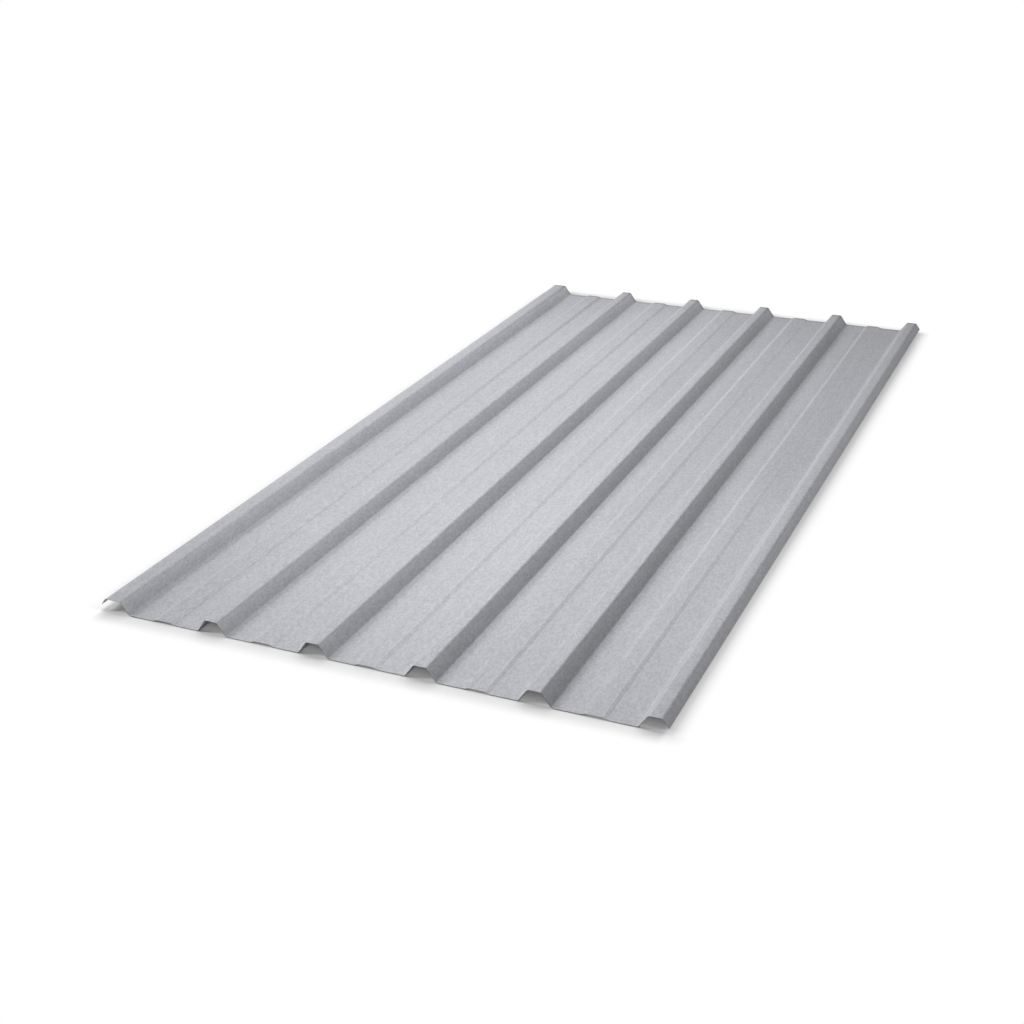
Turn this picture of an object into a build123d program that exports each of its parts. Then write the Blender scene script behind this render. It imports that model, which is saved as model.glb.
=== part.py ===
"""Trapezoidal ribbed roofing sheet, roll-formed in one piece from a flat steel strip.

Six trapezoidal ribs run the whole length, with a flat pan between each pair. A low raised swage
stiffens the middle of every pan. Each side ends in a rib with a shortened outer leg: the left one
is wider, and laps over the right one of the next sheet.

Frame: X across the ribs, Y along them, Z up. The pans rest on Z = 0, and the origin is the centre
of the sheet's footprint. Millimetres.
"""

import os

from build123d import *

# Strip
sheet_length = 2135.0
sheet_thickness = 0.5

# Ribs, measured on the underside, between the points where the straight faces would meet
rib_count = 6
rib_pitch = 204.0
rib_depth = 24.0
crest_width = 23.5
rib_base_width = 57.5
crest_bend_radius = 6.5
foot_bend_radius = 4.0

# Raised swage along the middle of every pan
swage_height = 3.0
swage_top_width = 28.0
swage_base_width = 44.0
swage_bend_radius = 8.0

# Side laps
overlap_extra_width = 9.0
overlap_leg_drop = 12.0
underlap_leg_drop = 15.0


def rib_corners(centre):
    """Underside corners of one full rib, from its left foot to its right foot."""
    half_base = rib_base_width / 2
    half_crest = crest_width / 2
    return [
        (centre - half_base, 0),
        (centre - half_crest, rib_depth),
        (centre + half_crest, rib_depth),
        (centre + half_base, 0),
    ]


def swage_corners(centre):
    """Underside corners of the swage in one pan, from left to right."""
    half_base = swage_base_width / 2
    half_top = swage_top_width / 2
    return [
        (centre - half_base, 0),
        (centre - half_top, swage_height),
        (centre + half_top, swage_height),
        (centre + half_base, 0),
    ]


def leg_run(drop):
    """Distance that a leg goes out sideways while it comes down by drop."""
    return drop * (rib_base_width - crest_width) / 2 / rib_depth


# Rib centres, before the whole section is centred
rib_centres = [rib_pitch * i for i in range(rib_count)]
left_edge = -crest_width / 2 - overlap_extra_width - leg_run(overlap_leg_drop)
right_edge = rib_centres[-1] + crest_width / 2 + leg_run(underlap_leg_drop)
middle = (left_edge + right_edge) / 2

corners = [
    (left_edge, rib_depth - overlap_leg_drop),
    (-crest_width / 2 - overlap_extra_width, rib_depth),
]
radii = [crest_bend_radius]
for i, centre in enumerate(rib_centres):
    rib = rib_corners(centre)
    rib_radii = [foot_bend_radius, crest_bend_radius, crest_bend_radius, foot_bend_radius]
    if i == 0:
        rib, rib_radii = rib[2:], rib_radii[2:]
    if i == rib_count - 1:
        rib, rib_radii = rib[:3], rib_radii[:3]
    corners += rib
    radii += rib_radii
    if i < rib_count - 1:
        swage = swage_corners(centre + rib_pitch / 2)
        corners += swage
        radii += [swage_bend_radius] * len(swage)
corners.append((right_edge, rib_depth - underlap_leg_drop))
section_points = [(x - middle, z) for x, z in corners]

with BuildPart() as ribbed_sheet:
    with BuildSketch(Plane.XZ) as section:
        with BuildLine() as underside:
            FilletPolyline(*section_points, radius=radii)
            offset(amount=sheet_thickness, side=Side.LEFT)
        make_face()
    extrude(amount=sheet_length / 2, both=True)

os.makedirs("parts", exist_ok=True)
ribbed_sheet.part.label = "ribbed_sheet"
export_step(ribbed_sheet.part, "parts/ribbed_sheet.step")
print("footprint", ribbed_sheet.part.bounding_box().size, "volume", ribbed_sheet.part.volume)
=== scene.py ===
# %% [markdown]
# A trapezoidal roofing sheet
#
# The object is one long sheet of zinc-aluminium coated steel. It was rolled from a flat strip into
# six ribs, with a low raised swage in the pan between each pair. It lies on a white studio floor,
# seen from its right and from above.
#
# The file makes it in this order: the rolled form, its coating, the floor, the light and the
# camera. All lengths are metres, most of them written as millimetres times MM.

# %% Load the measured frame
import math
from types import SimpleNamespace

import bpy
from mathutils import Matrix, Vector


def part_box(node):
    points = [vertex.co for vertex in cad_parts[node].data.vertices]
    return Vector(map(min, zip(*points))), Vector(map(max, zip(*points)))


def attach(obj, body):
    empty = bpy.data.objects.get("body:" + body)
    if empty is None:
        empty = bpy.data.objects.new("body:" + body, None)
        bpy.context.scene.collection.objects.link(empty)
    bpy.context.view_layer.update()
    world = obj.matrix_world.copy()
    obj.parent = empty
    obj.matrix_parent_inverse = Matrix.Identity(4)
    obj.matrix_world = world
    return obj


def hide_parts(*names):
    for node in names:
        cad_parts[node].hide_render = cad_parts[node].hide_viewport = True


MM = 0.001
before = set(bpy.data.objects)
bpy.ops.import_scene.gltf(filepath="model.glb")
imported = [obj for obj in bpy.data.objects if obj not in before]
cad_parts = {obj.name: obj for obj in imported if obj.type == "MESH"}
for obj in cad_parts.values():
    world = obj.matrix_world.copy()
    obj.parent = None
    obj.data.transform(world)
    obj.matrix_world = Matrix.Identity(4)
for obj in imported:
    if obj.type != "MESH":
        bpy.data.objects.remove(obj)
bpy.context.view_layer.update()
low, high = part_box("ribbed_sheet")
print("frame nodes", list(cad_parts), "box", [round(v, 4) for v in (*low, *high)])

# %% [markdown]
# Arithmetic that builds nodes
#
# Both the shape and the finish of this sheet come from node trees. Wired by hand in Python, a sum
# of three terms takes six lines. So one small class stands for an output socket: the usual
# operators add Math nodes, and `add` makes any other node. Its settings go in before its sockets,
# because some settings, such as a data type, decide which sockets there are.


# %% A socket that can be used in a formula
class Wire:
    """An output socket of a node tree, or just the tree itself while nothing is wired yet."""

    def __init__(self, tree, socket=None):
        self.tree = tree
        self.socket = socket

    def add(self, kind, settings=None, values=None, output=0):
        """Adds a node, sets it up, fills its inputs with numbers or wires, returns an output."""
        node = self.tree.nodes.new(kind)
        for name, value in (settings or {}).items():
            if name == "items":
                while len(node.index_switch_items) < value:
                    node.index_switch_items.new()
            elif name == "stops":
                ramp = node.color_ramp.elements
                while len(ramp) < len(value):
                    ramp.new(1.0)
                for stop, (place, shade) in zip(ramp, value):
                    stop.position = place
                    stop.color = (shade, shade, shade, 1.0)
            else:
                setattr(node, name, value)
        for name, value in (values or {}).items():
            for wire in value if isinstance(value, list) else [value]:
                if isinstance(wire, Wire):
                    self.tree.links.new(wire.socket, node.inputs[name])
                else:
                    node.inputs[name].default_value = wire
        return Wire(self.tree, node.outputs[output] if node.outputs else None)

    def other(self, name):
        """Another output of the node that this one comes from."""
        return Wire(self.tree, self.socket.node.outputs[name])

    def maths(self, operation, *terms):
        """A Math node that works on the given numbers or wires."""
        return self.add("ShaderNodeMath", {"operation": operation}, dict(enumerate(terms)))

    def __add__(self, other):
        return self.maths("ADD", self, other)

    def __radd__(self, other):
        return self.maths("ADD", other, self)

    def __sub__(self, other):
        return self.maths("SUBTRACT", self, other)

    def __rsub__(self, other):
        return self.maths("SUBTRACT", other, self)

    def __mul__(self, other):
        return self.maths("MULTIPLY", self, other)

    def __rmul__(self, other):
        return self.maths("MULTIPLY", other, self)

    def __truediv__(self, other):
        return self.maths("DIVIDE", self, other)

    def __neg__(self):
        return self.maths("MULTIPLY", self, -1.0)

    def clamped(self):
        """The same value, held between 0 and 1."""
        return self.add("ShaderNodeClamp", {}, {"Value": self})


# %% [markdown]
# The section of the sheet
#
# Roofing sheets of this kind are described by their section: the pitch from rib to rib, the depth,
# and the widths of crest and base. The length comes from the frame. The rest are the sizes that
# the rolls were cut to, given on the underside between the points where the straight faces would
# meet. The rolls also leave the sheet a little wavy, by a tenth of a millimetre or two, which is
# what breaks up the light along a real one.

# %% Sizes of the section
section_sizes = {
    "Rib count": 6,
    "Rib pitch": 204.0 * MM,
    "Rib depth": 24.0 * MM,
    "Crest width": 23.5 * MM,
    "Rib base width": 57.5 * MM,
    "Crest bend radius": 6.5 * MM,
    "Foot bend radius": 4.0 * MM,
    "Swage height": 3.0 * MM,
    "Swage top width": 28.0 * MM,
    "Swage base width": 44.0 * MM,
    "Swage bend radius": 8.0 * MM,
    "Overlap extra width": 9.0 * MM,
    "Overlap leg drop": 12.0 * MM,
    "Underlap leg drop": 15.0 * MM,
    "Strip thickness": 0.5 * MM,
    "Sheet length": high[1] - low[1],
    "Ripple height": 0.3 * MM,
    "Bend steps": 7,
    "Rows along": 90,
    "Seed": 7.0,
}
print("section sizes", len(section_sizes), "length", round(section_sizes["Sheet length"], 4))

# %% [markdown]
# The outline
#
# The section could be drawn by hand as 44 points, or extruded from a curve with a profile. Here
# Geometry Nodes place the corners by rule, so that another pitch or one more rib is one number.
# The outline repeats every eight corners: four for the rib and four for the swage. So a corner's
# place follows from its number.

# %% Corners that repeat with the ribs
rib_corners = 4
swage_corners = 4
corners_per_pitch = rib_corners + swage_corners


def repeated_corners(net, size, number):
    """Place across, height and bend radius of each corner, as if all ribs were full ones."""
    pitches = net.maths("FLOOR", number / corners_per_pitch)
    corner = number - pitches * corners_per_pitch

    def by_corner(*values):
        settings = {"data_type": "FLOAT", "items": len(values)}
        inputs = {str(i): value for i, value in enumerate(values)}
        return net.add("GeometryNodeIndexSwitch", settings, {"Index": corner, **inputs})

    half_crest, half_base = size["Crest width"] / 2, size["Rib base width"] / 2
    half_top, half_swage = size["Swage top width"] / 2, size["Swage base width"] / 2
    middle = size["Rib pitch"] / 2
    across = pitches * size["Rib pitch"] + by_corner(
        -half_base, -half_crest, half_crest, half_base,
        middle - half_swage, middle - half_top, middle + half_top, middle + half_swage,
    )
    depth, rise = size["Rib depth"], size["Swage height"]
    height = by_corner(0.0, depth, depth, 0.0, 0.0, rise, rise, 0.0)
    foot, crest, swage = [size[f"{name} bend radius"] for name in ("Foot", "Crest", "Swage")]
    radius = by_corner(foot, crest, crest, foot, swage, swage, swage, swage)
    return across, height, radius


print("corners in one pitch", corners_per_pitch)

# %% [markdown]
# The side laps
#
# The sheet doesn't end in full ribs. The first rib has a wider crest, and its outer leg stops
# halfway down. The last rib's outer leg stops a little lower. So sheets laid side by side overlap.
# The two sides could be curves of their own, joined to the middle. But they differ from full ribs
# in only three corners, the first two and the last one, so those three are moved by themselves.
# Fillet Curve then rounds every corner by its own radius.


# %% Side laps, and the whole outline
def section_outline(net, size):
    """The underside of the section as one curve, rounded at its corners and centred on X."""
    number = net.add("GeometryNodeInputIndex")
    across, height, radius = repeated_corners(net, size, number)
    count = size["Rib count"] * corners_per_pitch - swage_corners
    special = (0, 1, count - 1)
    is_lip, is_wide_corner, is_last = [net.maths("COMPARE", number, n, 0.5) for n in special]

    depth = size["Rib depth"]
    half_crest, half_base = size["Crest width"] / 2, size["Rib base width"] / 2
    slope = (half_base - half_crest) / depth
    over_run, under_run = [size[f"{lap} leg drop"] * slope for lap in ("Overlap", "Underlap")]
    extra = size["Overlap extra width"]
    across = across - is_lip * (half_crest + extra + over_run - half_base)
    across = across - is_wide_corner * extra
    across = across - is_last * (half_base - half_crest - under_run)
    height = height + is_lip * (depth - size["Overlap leg drop"])
    height = height + is_last * (depth - size["Underlap leg drop"])
    left_end = -half_crest - extra - over_run
    right_end = (size["Rib count"] - 1) * size["Rib pitch"] + half_crest + under_run
    across = across - (left_end + right_end) / 2

    place = net.add("ShaderNodeCombineXYZ", {}, {"X": across, "Z": height})
    points = net.add("GeometryNodePoints", {}, {"Count": count, "Position": place})
    outline = net.add("GeometryNodePointsToCurves", {}, {"Points": points, "Weight": number})
    return net.add(
        "GeometryNodeFilletCurve",
        {"mode": "POLY"},
        {"Curve": outline, "Count": size["Bend steps"], "Radius": radius, "Limit Radius": True},
    )


# %% [markdown]
# Rolling the strip
#
# A rolling mill takes a flat strip and bends every cross-section of it into the same outline, and
# the next step works the same way. It takes a flat grid and moves each column of the grid onto
# its point of the outline. The grid keeps its place in the flat strip as an attribute, because
# coating, grain and streaks belong to the flat strip and turn with it at each bend. Extruding the
# outline would give the same form, but the pattern would then stretch on the steep flanks. A slow
# noise adds the waves of the sheet.


# %% Small waves of the sheet
waves_across_per_metre = 6
waves_along_per_metre = 3


def ripple(net, size, strip_across, strip_along):
    """How much the sheet rises or falls at a place in the flat strip."""
    place = net.add(
        "ShaderNodeCombineXYZ",
        {},
        {"X": strip_across * waves_across_per_metre, "Y": strip_along * waves_along_per_metre},
    )
    noise = net.add(
        "ShaderNodeTexNoise",
        {"noise_dimensions": "4D"},
        {"Vector": place, "W": size["Seed"], "Scale": 1.0, "Detail": 1.0},
    )
    return (noise - 0.5) * size["Ripple height"]


# %% Bend a flat grid into the outline
def bent_strip(net, size, outline):
    """A flat grid laid onto the outline, with its place in the flat strip as strip_place."""
    number = net.add("GeometryNodeInputIndex")
    steps = net.add("GeometryNodeAttributeDomainSize", {"component": "CURVE"}, {"Geometry": outline})
    rows = size["Rows along"]
    flat = net.add(
        "GeometryNodeMeshGrid",
        {},
        {"Size X": 1.0, "Size Y": size["Sheet length"], "Vertices X": steps, "Vertices Y": rows},
    )

    def along_outline(value, data_type):
        return net.add(
            "GeometryNodeSampleIndex",
            {"data_type": data_type, "domain": "POINT"},
            {"Geometry": outline, "Value": value, "Index": net.maths("FLOOR", number / rows)},
        )

    where = net.add("GeometryNodeInputPosition")
    strip_along = net.add("ShaderNodeSeparateXYZ", {}, {"Vector": where}, output="Y")
    strip_across = along_outline(net.add("GeometryNodeSplineParameter", output="Length"), "FLOAT")
    strip_place = net.add("ShaderNodeCombineXYZ", {}, {"X": strip_across, "Y": strip_along})
    marked = net.add(
        "GeometryNodeStoreNamedAttribute",
        {"data_type": "FLOAT_VECTOR", "domain": "POINT"},
        {"Geometry": flat, "Name": "strip_place", "Value": strip_place},
    )

    section = net.add("ShaderNodeSeparateXYZ", {}, {"Vector": along_outline(where, "FLOAT_VECTOR")})
    height = section.other("Z") + ripple(net, size, strip_across, strip_along)
    place = net.add("ShaderNodeCombineXYZ", {}, {"X": section, "Y": strip_along, "Z": height})
    return net.add("GeometryNodeSetPosition", {}, {"Geometry": marked, "Position": place})


# %% [markdown]
# Thickness and edges
#
# The strip is only half a millimetre thick, but its edge shows as a fine dark line where the
# shears cut it, so the wall is real. Extrude Mesh lifts the faces and builds the four cut walls.
# The sheet that it started from, flipped over, closes the underside. A Solidify modifier would do
# as well, but Extrude Mesh also says which faces are walls, and those stay bare steel.

# %% Give the strip its thickness
weld_distance = 0.01 * MM


def thickened(net, size, sheet):
    """The strip as one closed skin, with its cut walls marked as cut_edge."""
    thick = net.add(
        "GeometryNodeExtrudeMesh",
        {},
        {"Mesh": sheet, "Offset Scale": size["Strip thickness"], "Individual": False},
    )
    edged = net.add(
        "GeometryNodeStoreNamedAttribute",
        {"data_type": "BOOLEAN", "domain": "FACE"},
        {"Geometry": thick, "Name": "cut_edge", "Value": thick.other("Side")},
    )
    underside = net.add("GeometryNodeFlipFaces", {}, {"Mesh": sheet})
    joined = net.add("GeometryNodeJoinGeometry", {}, {"Geometry": [edged, underside]})
    return net.add("GeometryNodeMergeByDistance", {}, {"Geometry": joined, "Distance": weld_distance})


# %% Smooth the bends and put the materials on
crease_angle = math.radians(40)


def finished(net, closed, coating, bare_edge):
    """Smooth bends, sharp cut edges, the coating, and bare steel on the cut walls."""
    turn = net.add("GeometryNodeInputMeshEdgeAngle")
    smooth = net.add("GeometryNodeSetShadeSmooth", {}, {"Geometry": closed, "Shade Smooth": True})
    creased = net.add(
        "GeometryNodeSetShadeSmooth",
        {"domain": "EDGE"},
        {
            "Geometry": smooth,
            "Selection": net.maths("GREATER_THAN", turn, crease_angle),
            "Shade Smooth": False,
        },
    )
    real = net.add("GeometryNodeRealizeInstances", {}, {"Geometry": creased})
    coated = net.add("GeometryNodeSetMaterial", {}, {"Geometry": real, "Material": coating})
    is_wall = net.add(
        "GeometryNodeInputNamedAttribute", {"data_type": "BOOLEAN"}, {"Name": "cut_edge"}
    )
    return net.add(
        "GeometryNodeSetMaterial",
        {},
        {"Geometry": coated, "Selection": is_wall, "Material": bare_edge},
    )


# %% The whole rolling mill as one node tree
def rolling_tree(sizes, coating, bare_edge):
    """A geometry node group with one named input for each size in sizes."""
    tree = bpy.data.node_groups.new("roll_the_strip", "GeometryNodeTree")
    for name, value in sizes.items():
        kind = "NodeSocketInt" if isinstance(value, int) else "NodeSocketFloat"
        tree.interface.new_socket(name, in_out="INPUT", socket_type=kind).default_value = value
    tree.interface.new_socket("Geometry", in_out="OUTPUT", socket_type="NodeSocketGeometry")
    given = tree.nodes.new("NodeGroupInput")
    size = {name: Wire(tree, given.outputs[name]) for name in sizes}
    net = Wire(tree)
    sheet = bent_strip(net, size, section_outline(net, size))
    sheet = finished(net, thickened(net, size, sheet), coating, bare_edge)
    net.add("NodeGroupOutput", {}, {"Geometry": sheet})
    print("rolling tree has", len(tree.nodes), "nodes")
    return tree


# %% [markdown]
# Where things are on the sheet
#
# The painted light and shade on the coating and the shade on the floor both repeat with the ribs, so
# both need the places of the ribs. They follow from the frame's box and the section. Both are laid
# out by Object coordinates, which are metres here because sheet and floor sit unturned at the origin.
# And both need a soft step from 0 to 1, which is one Map Range node.

# %% Places of the ribs
rib_pitch = section_sizes["Rib pitch"]
rib_foot = section_sizes["Rib base width"] / 2
swage_foot = (rib_pitch - section_sizes["Swage base width"]) / 2
leg_slope = (rib_foot - section_sizes["Crest width"] / 2) / section_sizes["Rib depth"]
last_leg = section_sizes["Crest width"] / 2 + section_sizes["Underlap leg drop"] * leg_slope
last_rib = high[0] - last_leg
first_rib = last_rib - (section_sizes["Rib count"] - 1) * rib_pitch
print("ribs from x", round(first_rib, 4), "to", round(last_rib, 4))


# %% Places, soft steps and shares
def place_on_sheet(net):
    """Place across and along the sheet, as two wires."""
    place = net.add("ShaderNodeTexCoord", output="Object")
    across = net.add("ShaderNodeSeparateXYZ", {}, {"Vector": place})
    return across, across.other("Y")


def smooth_rise(net, value, start, width):
    """0 up to start, 1 from start + width on, a soft S between. A negative width turns it round."""
    return net.add(
        "ShaderNodeMapRange",
        {"interpolation_type": "SMOOTHSTEP"},
        {"Value": value, "From Min": start, "From Max": start + width},
    )


def soft_band(net, value, start, end, fade):
    """1 between start and end, 0 outside, with soft flanks of the given width inside."""
    return smooth_rise(net, value, start, fade) * smooth_rise(net, value, end, -fade)


def lifted(value, least):
    """A value that ran from 0 to 1, moved to run from least to 1."""
    return value * (1.0 - least) + least


# %% [markdown]
# Painted light and shade beside the ribs
#
# The coating's colour is made paler or darker in lines that run the whole length at the same place
# beside every rib. This is painted light and shade: a painted highlight on the left flank and
# shoulder, a darker right shoulder, a painted highlight at the top of the right flank that turns to
# painted shade at its foot, a painted shadow of the rib on the pan beside its right foot, and paler
# swage slopes. A colour ramp holds them: its left end is half a pitch left of a rib, and its right
# end half a pitch right. The keys below are millimetres from the middle of the rib, and the values
# are percent of brightness. The ramp's black stands for the most that a mark may darken, and its
# white for the most that it may brighten.

# %% Painted light and shade beside a rib
painted_light_and_shade_marks = {
    # right slope and foot of the swage before the rib: painted light on the slope
    -91: 0, -88: 12, -83: 8, -79: -3, -75: 0,
    # pan before the rib
    -60: 0, -44: -2, -31: 0,
    # left flank and left shoulder: painted highlights
    -29: 5, -20: 3, -14: 5, -10: 0,
    # right shoulder: painted shade
    5: -1, 8: -9, 10: -15, 12: -13,
    # right flank, from shoulder to foot: painted highlight at the top, painted shade at the foot
    14: 10, 16: 6, 20: -2.5, 26: -9,
    # pan beside the right foot: painted shadow of the rib
    30: -7.5, 36: -7, 40: -3, 44: 2, 55: 2.5,
    # left slope of the swage after the rib: painted light
    75: 1, 78: 5, 82: 9.5, 86: 4.5, 90: 0,
}
most_percent = 20


def repeated_marks(net, beside):
    """Painted light and shade that is the same beside every rib, around zero."""
    stops = [
        (0.5 + mm * MM / rib_pitch, 0.5 + percent / (2 * most_percent))
        for mm, percent in painted_light_and_shade_marks.items()
    ]
    ramp = net.add("ShaderNodeValToRGB", {"stops": stops}, {"Fac": beside})
    return (ramp - 0.5) * (2 * most_percent / 100)


print("stops on the ramp of painted light and shade", len(painted_light_and_shade_marks))

# %% [markdown]
# Painted light and shade that isn't the same all over
#
# Some of the painted light and shade differs from rib to rib, and some gets stronger or weaker along
# the sheet: the left flanks of the ribs on the right and the right shoulders are painted paler
# towards the near end and darker towards the far end, the foot of the right flanks and the pan beside
# it get painted light near the far end, and the right swage slopes are painted darker on the left
# pans and paler on the right ones. A second ramp for every rib could hold them. It takes less to
# give each mark one row, with its place beside the rib, and one factor, which says at which ribs it
# shows or how it changes along them. The factor may be negative, and then a pale mark is a dull one.
# Ribs and pans are counted from the left, from 0. A thin painted highlight by the left foot moves a
# little from rib to rib, so it has values of its own, and so have the outer leg at the right edge,
# painted paler, and the darker rim at the far end.

# %% Painted light and shade with a row of its own
# painted light and shade: middle and half width in millimetres from the middle of the rib, percent
uneven_painted_light_and_shade = {
    "right slope of the swage": (-84, 5, 6.3),
    "left flank": (-20.5, 9.5, -3),
    "left shoulder": (-11.5, 2.5, 5),
    "right shoulder": (8, 2, -5),
    "right flank": (28, 14, 13),
    "left slope of the swage": (82, 5, -4),
}
# a thin painted highlight by the left foot: middle, half width, percent
foot_highlight = (-41, 2, 2)
foot_highlight_slide = 2.5
foot_highlight_from = 1
left_flank_from = 2
left_shoulder_ribs = (2, 1.2)
pan_without_extra = 1.8
last_pan = 4
# the stretch over which painted light comes in on the foot of the right flanks near the far end
far_end_light_stretch = (high[1] - 170 * MM, 150 * MM)
far_rim_stretch = (high[1] - 11 * MM, 5 * MM)
far_rim_percent = -25
# the outer leg at the right edge is painted paler
outer_leg_stretch = (last_rib + 9 * MM, 3 * MM)
outer_leg_percent = 12


def differing_marks(net, pitches, beside, along):
    """Painted light and shade that differs from rib to rib or changes along a rib, around zero."""
    pan_number = net.maths("FLOOR", pitches)
    rib_number = net.maths("FLOOR", pitches + 0.5)
    factors = {
        "right slope of the swage": pan_number - pan_without_extra,
        "left flank": net.maths("MAXIMUM", rib_number - left_flank_from, 0.0) * along,
        "left shoulder": net.maths("COMPARE", rib_number, *left_shoulder_ribs),
        "right shoulder": along,
        "right flank": smooth_rise(net, along, *far_end_light_stretch),
        "left slope of the swage": net.maths("COMPARE", pan_number, last_pan, 0.5),
    }

    def line(middle, half_width, percent):
        middle = middle * (MM / rib_pitch) + 0.5
        return net.maths("COMPARE", beside, middle, half_width * MM / rib_pitch) * (percent / 100)

    middle, half_width, percent = foot_highlight
    marks = line(foot_highlight_slide * rib_number + middle, half_width, percent)
    marks = marks * net.maths("MAXIMUM", rib_number - foot_highlight_from, 0.0)
    for name, factor in factors.items():
        marks = marks + line(*uneven_painted_light_and_shade[name]) * factor
    return marks


def rolled_in_marks(net):
    """Painted light and shade: how much paler or darker the zinc is drawn for its place, around zero.
    """
    across, along = place_on_sheet(net)
    pitches = (across - first_rib) / rib_pitch
    beside = net.maths("FRACT", pitches + 0.5)
    marks = repeated_marks(net, beside) + differing_marks(net, pitches, beside, along)
    marks = marks + smooth_rise(net, along, *far_rim_stretch) * (far_rim_percent / 100)
    return marks + smooth_rise(net, across, *outer_leg_stretch) * (outer_leg_percent / 100)


print("marks with a row of their own", len(uneven_painted_light_and_shade))

# %% [markdown]
# Wide areas of painted light and shade
#
# Six wide, soft-edged areas that are easy to make out are painted a few percent duller or paler
# than the rest: painted shade where the light falls off, and painted light where it gathers.
# Random clouds would put them anywhere, so these are placed one by one: each is a soft band
# across, times a soft band along.

# %% Wide areas of painted light and shade
# from x, to x, from y, to y, percent
wide_painted_light_areas = {
    "first rib, near end": (-0.560, -0.490, -1.20, -0.50, -8),
    "first pan, near end": (-0.480, -0.360, -1.20, -0.60, -6),
    "left foot of the second rib": (-0.370, -0.310, -0.80, 0.10, 5),
    "left side of the fourth rib, far end": (0.010, 0.095, 0.10, 1.20, -7),
    "fourth pan, right half": (0.150, 0.320, -1.20, 1.20, -5),
    "fifth pan, far half": (0.365, 0.500, -0.25, 1.20, -7),
}
fade_across = 0.03
fade_along = 0.3


def wide_marks(net):
    """Painted light and shade: how much paler or darker the wide areas are, around zero."""
    across, along = place_on_sheet(net)
    marks = 0.0
    for x_start, x_end, y_start, y_end, percent in wide_painted_light_areas.values():
        area = soft_band(net, across, x_start, x_end, fade_across)
        marks = area * soft_band(net, along, y_start, y_end, fade_along) * (percent / 100) + marks
    return marks


print("wide areas", len(wide_painted_light_areas))

# %% [markdown]
# The coating
#
# Zinc-aluminium coating is a satin grey with a very fine crystal pattern, the spangle. From a few
# metres away the crystals read as a fine speckle: each one catches the light a little differently.
# So Voronoi cells of a few millimetres give each crystal a shade and a tilt, fine noise breaks
# them up, long noise along the strip gives streaks, and wide noise gives clouds. All of it is laid
# out in the flat strip. The shine is low: the metal part is a fifth, the roughness a half, and the
# rest has no gloss at all.

# %% Colour and grain of the coating
coating_colour = (0.4965, 0.501, 0.532)
# size across the strip, size along it, and how much the shade varies
grain = {
    "spangle": (3 * MM, 6 * MM, 0.20),
    "specks": (1.5 * MM, 3 * MM, 0.40),
    "streaks": (9 * MM, 900 * MM, 0.06),
    "clouds": (120 * MM, 120 * MM, 0.05),
}


def pattern(net, strip, kind, name, output=0, **values):
    """A cell or noise texture in the flat strip, as coarse as its row of the table says."""
    size_across, size_along, _ = grain[name]
    scale = (1 / size_across, 1 / size_along, 1.0)
    place = net.add("ShaderNodeVectorMath", {"operation": "MULTIPLY"}, {0: strip, 1: scale})
    return net.add(kind, {}, {"Vector": place, "Scale": 1.0, **values}, output=output)


def new_material(name):
    """An empty material, and a wire into its node tree."""
    material = bpy.data.materials.new(name)
    material.use_nodes = True
    material.node_tree.nodes.clear()
    return material, Wire(material.node_tree)


# %% The coating as a material
metal_share = 0.20
mean_roughness = 0.50
spangle_roughness = 0.08
streak_roughness = 0.05
speck_relief = 0.6
relief_strength = 0.10
relief_depth = 0.05 * MM


def coated_steel():
    """The satin zinc-aluminium coating on both faces of the strip."""
    material, net = new_material("zinc_aluminium_coating")
    strip = net.add("ShaderNodeAttribute", {"attribute_name": "strip_place"}, output="Vector")
    cells = pattern(net, strip, "ShaderNodeTexVoronoi", "spangle", output="Color")
    crystal = net.add("ShaderNodeSeparateColor", {}, {"Color": cells})
    tilt = crystal.other("Green")
    patterns = {"spangle": crystal}
    for name in ("specks", "streaks", "clouds"):
        patterns[name] = pattern(net, strip, "ShaderNodeTexNoise", name, Detail=2.0)

    # the colour carries the grain, and also the painted light and shade beside the ribs and in wide
    # areas
    shade = 1.0 + rolled_in_marks(net) + wide_marks(net)
    for name, value in patterns.items():
        shade = shade + (value - 0.5) * grain[name][2]
    colour = net.add(
        "ShaderNodeVectorMath", {"operation": "SCALE"}, {0: coating_colour, "Scale": shade}
    )
    roughness = (tilt - 0.5) * spangle_roughness + (patterns["streaks"] - 0.5) * streak_roughness
    bump = net.add(
        "ShaderNodeBump",
        {},
        {
            "Height": tilt + patterns["specks"] * speck_relief,
            "Strength": relief_strength,
            "Distance": relief_depth,
        },
    )
    principled = net.add(
        "ShaderNodeBsdfPrincipled",
        {},
        {
            "Base Color": colour,
            "Metallic": metal_share,
            "Roughness": roughness + mean_roughness,
            "Specular IOR Level": 0.0,
            "Normal": bump,
        },
    )
    net.add("ShaderNodeOutputMaterial", {}, {"Surface": principled})
    print(material.name, "has", len(material.node_tree.nodes), "nodes")
    return material


# %% [markdown]
# The cut edges
#
# Shears and slitter leave the steel bare on all four edges. Bare steel turns dark within days, and
# the edge is drawn darker still, as painted shade for the thin shadow line under it, so the edge
# reads as a dark line. Fine noise along it stands for the drag marks of the blade.

# %% Bare steel on the cut edges
# very dark: bare steel, and painted shade for the shadow line under the edge
cut_steel_and_shade_colour = (0.06, 0.06, 0.065)
cut_metal_share = 0.3
cut_roughness = 0.6
drag_marks_per_metre = 900
drag_contrast = 0.6


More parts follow.
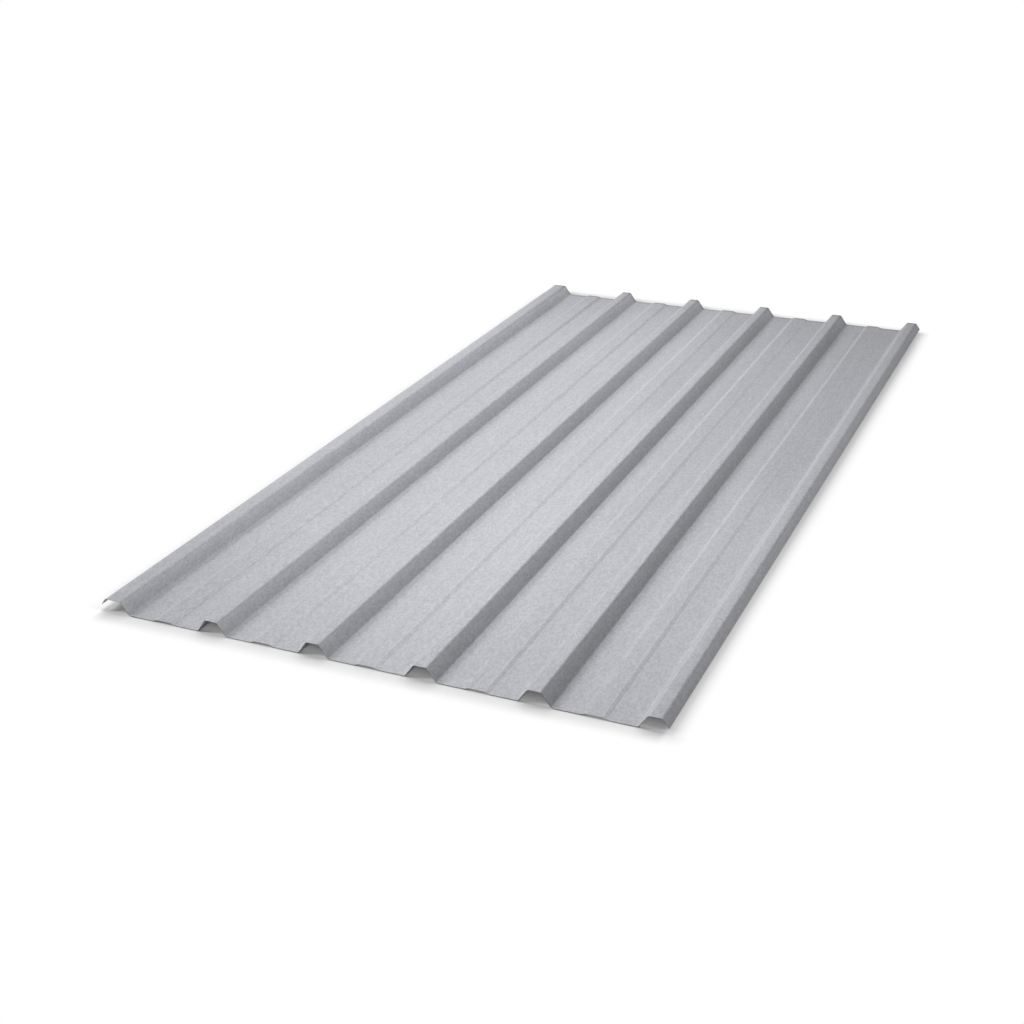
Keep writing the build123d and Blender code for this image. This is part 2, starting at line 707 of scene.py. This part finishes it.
def bare_cut():
    """Steel laid bare where the shears and the slitter cut the strip, drawn darker as painted shade.
    """
    material, net = new_material("sheared_steel_edge")
    strip = net.add("ShaderNodeAttribute", {"attribute_name": "strip_place"}, output="Vector")
    drag = net.add("ShaderNodeTexNoise", {}, {"Vector": strip, "Scale": drag_marks_per_metre})
    shade = (drag - 0.5) * drag_contrast + 1.0
    colour = net.add("ShaderNodeVectorMath", {"operation": "SCALE"}, {0: cut_steel_and_shade_colour, "Scale": shade})
    principled = net.add(
        "ShaderNodeBsdfPrincipled",
        {},
        {"Base Color": colour, "Metallic": cut_metal_share, "Roughness": cut_roughness},
    )
    net.add("ShaderNodeOutputMaterial", {}, {"Surface": principled})
    print(material.name, "has", len(material.node_tree.nodes), "nodes")
    return material


# %% [markdown]
# Rolling it
#
# The tree runs as a modifier on an empty carrier. Its inputs are set by their identifiers, before
# the first evaluation. The evaluated result is copied into a plain mesh and the carrier goes, so
# that what is left is an ordinary object at the origin. It rides on the frame's one body, and
# stands for the frame's one node.


# %% Roll the sheet
def rolled_sheet():
    """The sheet as a plain mesh object, made by the rolling tree."""
    tree = rolling_tree(section_sizes, coated_steel(), bare_cut())
    carrier = bpy.data.objects.new("roll_carrier", bpy.data.meshes.new("roll_carrier"))
    bpy.context.scene.collection.objects.link(carrier)
    modifier = carrier.modifiers.new("roll", "NODES")
    modifier.node_group = tree
    for item in tree.interface.items_tree:
        if item.in_out == "INPUT":
            modifier[item.identifier] = section_sizes[item.name]
    evaluated = carrier.evaluated_get(bpy.context.evaluated_depsgraph_get())
    mesh = bpy.data.meshes.new_from_object(evaluated)
    mesh.name = "rolled_sheet"
    bpy.data.objects.remove(carrier)
    piece = bpy.data.objects.new("rolled_sheet", mesh)
    bpy.context.scene.collection.objects.link(piece)
    return piece


sheet = rolled_sheet()
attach(sheet, "root")
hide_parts("ribbed_sheet")
print("sheet points", len(sheet.data.vertices), "faces", len(sheet.data.polygons))
for axis, name in enumerate("XYZ"):
    reach = [vertex.co[axis] for vertex in sheet.data.vertices]
    print(name, "from", round(min(reach), 5), "to", round(max(reach), 5))

# %% [markdown]
# The floor
#
# A studio floor that is to come out plain white needs either so much light that the sheet bleaches
# too, or a floor that the camera sees as white. Here the floor is pale paper for all light that
# bounces, so the sheet's own shadow and the light under it are real. Rays that look at it, straight
# or by reflection, see more and more plain white with the distance from the sheet, and nothing
# else from 45 mm on.
#
# In the photograph the contact shade looks the same at every rib, as it does under a large even
# light. The lamps here are few and mostly on the left, so some white evens the shade out. Lighting
# the floor evenly with many more lamps would be the other way, but it flattens the sheet too.

# %% The floor and its plain white
floor_drop = 1.2 * MM
floor_reach = 40.0
floor_colour = (0.9, 0.9, 0.9, 1.0)
plain_white = (1.0, 1.0, 1.0, 1.0)
white_start = 3 * MM
white_width = 43 * MM
white_everywhere = 0.04


def ray_seen(net):
    """1 for rays that look at a thing, straight or by reflection, and 0 for rays that light one."""
    kinds = ("Is Camera Ray", "Is Glossy Ray", "Is Transmission Ray")
    camera, glossy, through = [net.add("ShaderNodeLightPath", output=kind) for kind in kinds]
    return (camera + glossy + through).clamped()


# %% Where a place on the floor lies around the sheet
shade_shift = 6 * MM
outside_fade = (-1 * MM, 3 * MM)
right_side_fade = (-15 * MM, 15 * MM)


def past_box(net, value, axis):
    """How far a place lies outside the sheet's box along one axis, and negative inside."""
    middle, half = (low[axis] + high[axis]) / 2, (high[axis] - low[axis]) / 2
    return net.maths("ABSOLUTE", value - middle) - half


def floor_place(net):
    """Distances and shares that the white goes by, as wires."""
    across, along = place_on_sheet(net)
    past_side, past_end = past_box(net, across, 0), past_box(net, along, 1)
    away_side, away_end = [net.maths("MAXIMUM", past, 0.0) for past in (past_side, past_end)]
    return SimpleNamespace(
        across=across,
        along=along,
        past_left=low[0] - across,
        past_end=past_end,
        away=net.maths("SQRT", away_side * away_side + away_end * away_end),
        from_rib=net.maths("PINGPONG", across - last_rib, rib_pitch / 2),
        from_shade=net.maths("PINGPONG", across - last_rib - shade_shift, rib_pitch / 2),
        outside=smooth_rise(net, past_end, *outside_fade),
        right_side=smooth_rise(net, across - high[0], *right_side_fade),
    )


# %% [markdown]
# White close to the sheet
#
# Each of the next functions gives a share of white for one stretch of the floor, from what
# floor_place says. The shares are added up. A stretch is written as the place where its soft step
# starts and the step's width, and a negative width means that the stretch lies before it. A mask
# painted on the floor could hold all of it, but soft steps follow the ribs and can be changed.

# %% In front of the near end and behind the far end
pan_white = 0.22
pan_stretch = (12 * MM, 35 * MM)
left_corner_white = 0.9
left_corner_stretch = (-26 * MM, 46 * MM)
lean_per_metre = 0.40


def white_past_ends(net, at):
    """White past the two ends: at the pans, at the left corners, and more and more to the right."""
    by_pan = smooth_rise(net, at.from_shade, *pan_stretch) * (1.0 - at.right_side)
    at_corner = smooth_rise(net, at.past_left, *left_corner_stretch)
    share = by_pan * pan_white + at_corner * left_corner_white + at.across * lean_per_metre
    return share * at.outside


# %% Inside the arches of ribs and swages
arch_white = 0.16
arch_fade = 8 * MM
lean_in_arches = 0.24
first_arch_share = 0.4
past_first_rib = (first_rib + 40 * MM, 60 * MM)
deep_share = 0.4
deep_stretch = (-40 * MM, 30 * MM)
mouth_stretch = (-18 * MM, 14 * MM)
inside_stretch = (2 * MM, -10 * MM)


def white_in_arches(net, at):
    """White under ribs and swages near the two ends, most at their mouths."""
    under_rib = smooth_rise(net, at.from_rib, rib_foot + arch_fade / 2, -arch_fade)
    past_first = smooth_rise(net, at.across, *past_first_rib)
    under_rib = under_rib * lifted(past_first, first_arch_share)
    under_swage = smooth_rise(net, at.from_rib, swage_foot, arch_fade)
    share = lifted(smooth_rise(net, at.past_end, *deep_stretch), deep_share) * arch_white
    at_mouth = smooth_rise(net, at.past_end, *mouth_stretch)
    share = share + at_mouth * at.across * lean_in_arches
    inside = smooth_rise(net, at.past_end, *inside_stretch) * (1.0 - at.right_side)
    return share * (under_rib + under_swage) * inside


# %% Beside the long edges
right_white = 0.36
left_leg_white = 0.7
left_leg_stretch = (-4 * MM, 14 * MM)
left_leg_end = (-70 * MM, 40 * MM)


def white_beside_edges(net, at):
    """White along the right edge, and beside the left edge's leg near the two ends."""
    by_leg = smooth_rise(net, at.past_left, *left_leg_stretch)
    by_leg = by_leg * smooth_rise(net, at.past_end, *left_leg_end)
    return by_leg * left_leg_white + at.right_side * right_white


# %% [markdown]
# Where the shade is narrower
#
# On the right of the sheet, and most of all at its corners, the shade in the photograph is also
# narrower. A larger share would bleach the dark line right under the edge too. So the share stays
# there, and the white starts a few millimetres closer to the sheet.

# %% Earlier white, and all of it together
earlier_on_right = 8 * MM
earlier_near = 7 * MM
earlier_far = 4 * MM
earlier_behind = 6 * MM
near_stretch = (0.1, -0.8)
far_stretch = (0.9, 0.15)
right_part = (0.2, 0.3)
right_half = (-0.1, 0.3)
behind_stretch = (high[1], 5 * MM)


def earlier_white(net, at):
    """How much closer to the sheet than usual the white starts."""
    near = smooth_rise(net, at.along, *near_stretch) * (1.0 - at.outside)
    far = smooth_rise(net, at.along, *far_stretch)
    on_right = near * earlier_near + far * earlier_far + earlier_on_right
    before_right = smooth_rise(net, at.across, *right_part) * (1.0 - at.right_side)
    behind = smooth_rise(net, at.along, *behind_stretch) * smooth_rise(net, at.across, *right_half)
    return on_right * at.right_side + before_right * earlier_far + behind * earlier_behind


def whiteness(net):
    """How far the floor has gone over to plain white at a place, from 0 to 1."""
    at = floor_place(net)
    least = white_past_ends(net, at) + white_in_arches(net, at) + white_beside_edges(net, at)
    least = (least + white_everywhere).clamped()
    rise = smooth_rise(net, at.away + earlier_white(net, at), white_start, white_width)
    return lifted(rise, least)


# %% Lay the floor
def studio_floor():
    """A wide plane under the sheet, pale paper for the light and whiter for the eye."""
    material, net = new_material("white_floor")
    paper = net.add("ShaderNodeBsdfDiffuse", {}, {"Color": floor_colour})
    white = net.add("ShaderNodeEmission", {}, {"Color": plain_white, "Strength": 1.0})
    share = whiteness(net) * ray_seen(net)
    mixed = net.add("ShaderNodeMixShader", {}, {0: share, 1: paper, 2: white})
    net.add("ShaderNodeOutputMaterial", {}, {"Surface": mixed})
    mesh = bpy.data.meshes.new("studio_floor")
    r, z = floor_reach, -floor_drop
    mesh.from_pydata([(-r, -r, z), (r, -r, z), (r, r, z), (-r, r, z)], [], [(0, 1, 2, 3)])
    mesh.materials.append(material)
    floor = bpy.data.objects.new("studio_floor", mesh)
    bpy.context.scene.collection.objects.link(floor)
    print("floor at z", -floor_drop, "with", len(material.node_tree.nodes), "nodes")
    return floor


studio_floor()

# %% [markdown]
# The light
#
# Grey satin metal shows its form by how each face is turned to the light. The key light comes from
# the left, low and high, and gives the pale left flanks and the darker right ones. Three softboxes
# hang close above the sheet, which makes its middle the brightest part. Weak ones from the right
# and from the far end keep the right flanks from going dark. The powers add up to a level at which
# a colour renders about as it is written. The world is white where it is looked at, and dim as a
# light.

# %% Lamps and world
ambient_level = 0.06
softboxes = {
    "left_softbox_low": {"place": (-3.5, -2.2, 2.02), "radius": 0.6, "power": 53.8},
    "left_softbox_high": {"place": (-3.5, -2.2, 3.26), "radius": 0.6, "power": 58.8},
    "right_softbox": {"place": (1.5, 0.0, 1.5), "radius": 0.5, "power": 5.65},
    "far_softbox": {"place": (-2.0, 3.5, 2.5), "radius": 0.8, "power": 9.7},
    "overhead_softbox_near": {"place": (-0.2, -0.8, 1.0), "radius": 0.45, "power": 5.09},
    "overhead_softbox_left": {"place": (-0.7, 0.7, 1.2), "radius": 0.45, "power": 3.59},
    "overhead_softbox_far": {"place": (-0.2, 0.8, 1.0), "radius": 0.45, "power": 4.69},
}


def studio_world():
    """A world that looks white and lights dimly."""
    world = bpy.data.worlds.new("studio")
    bpy.context.scene.world = world
    world.use_nodes = True
    world.node_tree.nodes.clear()
    net = Wire(world.node_tree)
    strength = lifted(ray_seen(net), ambient_level)
    background = net.add("ShaderNodeBackground", {}, {"Color": plain_white, "Strength": strength})
    net.add("ShaderNodeOutputWorld", {}, {"Surface": background})
    print("world at", ambient_level, "as a light")


def softbox(name, place, radius, power):
    """A round softbox that faces the middle of the sheet."""
    lamp = bpy.data.lights.new(name, "AREA")
    lamp.shape = "DISK"
    lamp.size = 2 * radius
    lamp.energy = power
    holder = bpy.data.objects.new(name, lamp)
    bpy.context.scene.collection.objects.link(holder)
    holder.location = place
    holder.rotation_euler = Vector(place).to_track_quat("Z", "Y").to_euler()
    holder.visible_camera = False
    print(name, power, "W at", round(Vector(place).length, 2), "m")


studio_world()
for name, settings in softboxes.items():
    softbox(name, **settings)

# %% [markdown]
# The camera
#
# The long lines of a ribbed sheet give a camera away: where they would meet fixes the angle of
# view, and how fast they close up fixes the distance. The values here put all six ribs, at both
# ends, within about a pixel of where the photograph has them. The camera stands to the right of
# the near end, well above the height of a table.

# %% Camera
camera_place = (1.1374, -2.9916, 1.2999)
camera_azimuth = math.radians(24.11)
camera_elevation = math.radians(24.64)
camera_roll = math.radians(-0.98)
camera_lens = 53.76
sensor_width = 36.0
farthest_seen = 200.0


def studio_camera():
    """The camera at its place, turned, tilted and rolled."""
    data = bpy.data.cameras.new("camera")
    data.lens = camera_lens
    data.sensor_width = sensor_width
    data.clip_end = farthest_seen
    camera = bpy.data.objects.new("camera", data)
    bpy.context.scene.collection.objects.link(camera)
    turn = Matrix.Rotation(camera_azimuth, 4, "Z")
    tilt = Matrix.Rotation(math.pi / 2 - camera_elevation, 4, "X")
    roll = Matrix.Rotation(camera_roll, 4, "Z")
    camera.matrix_world = Matrix.Translation(camera_place) @ turn @ tilt @ roll
    bpy.context.scene.camera = camera
    print("camera", round(Vector(camera_place).length, 2), "m from the middle of the sheet")


studio_camera()
bpy.context.scene.view_settings.view_transform = "Standard"
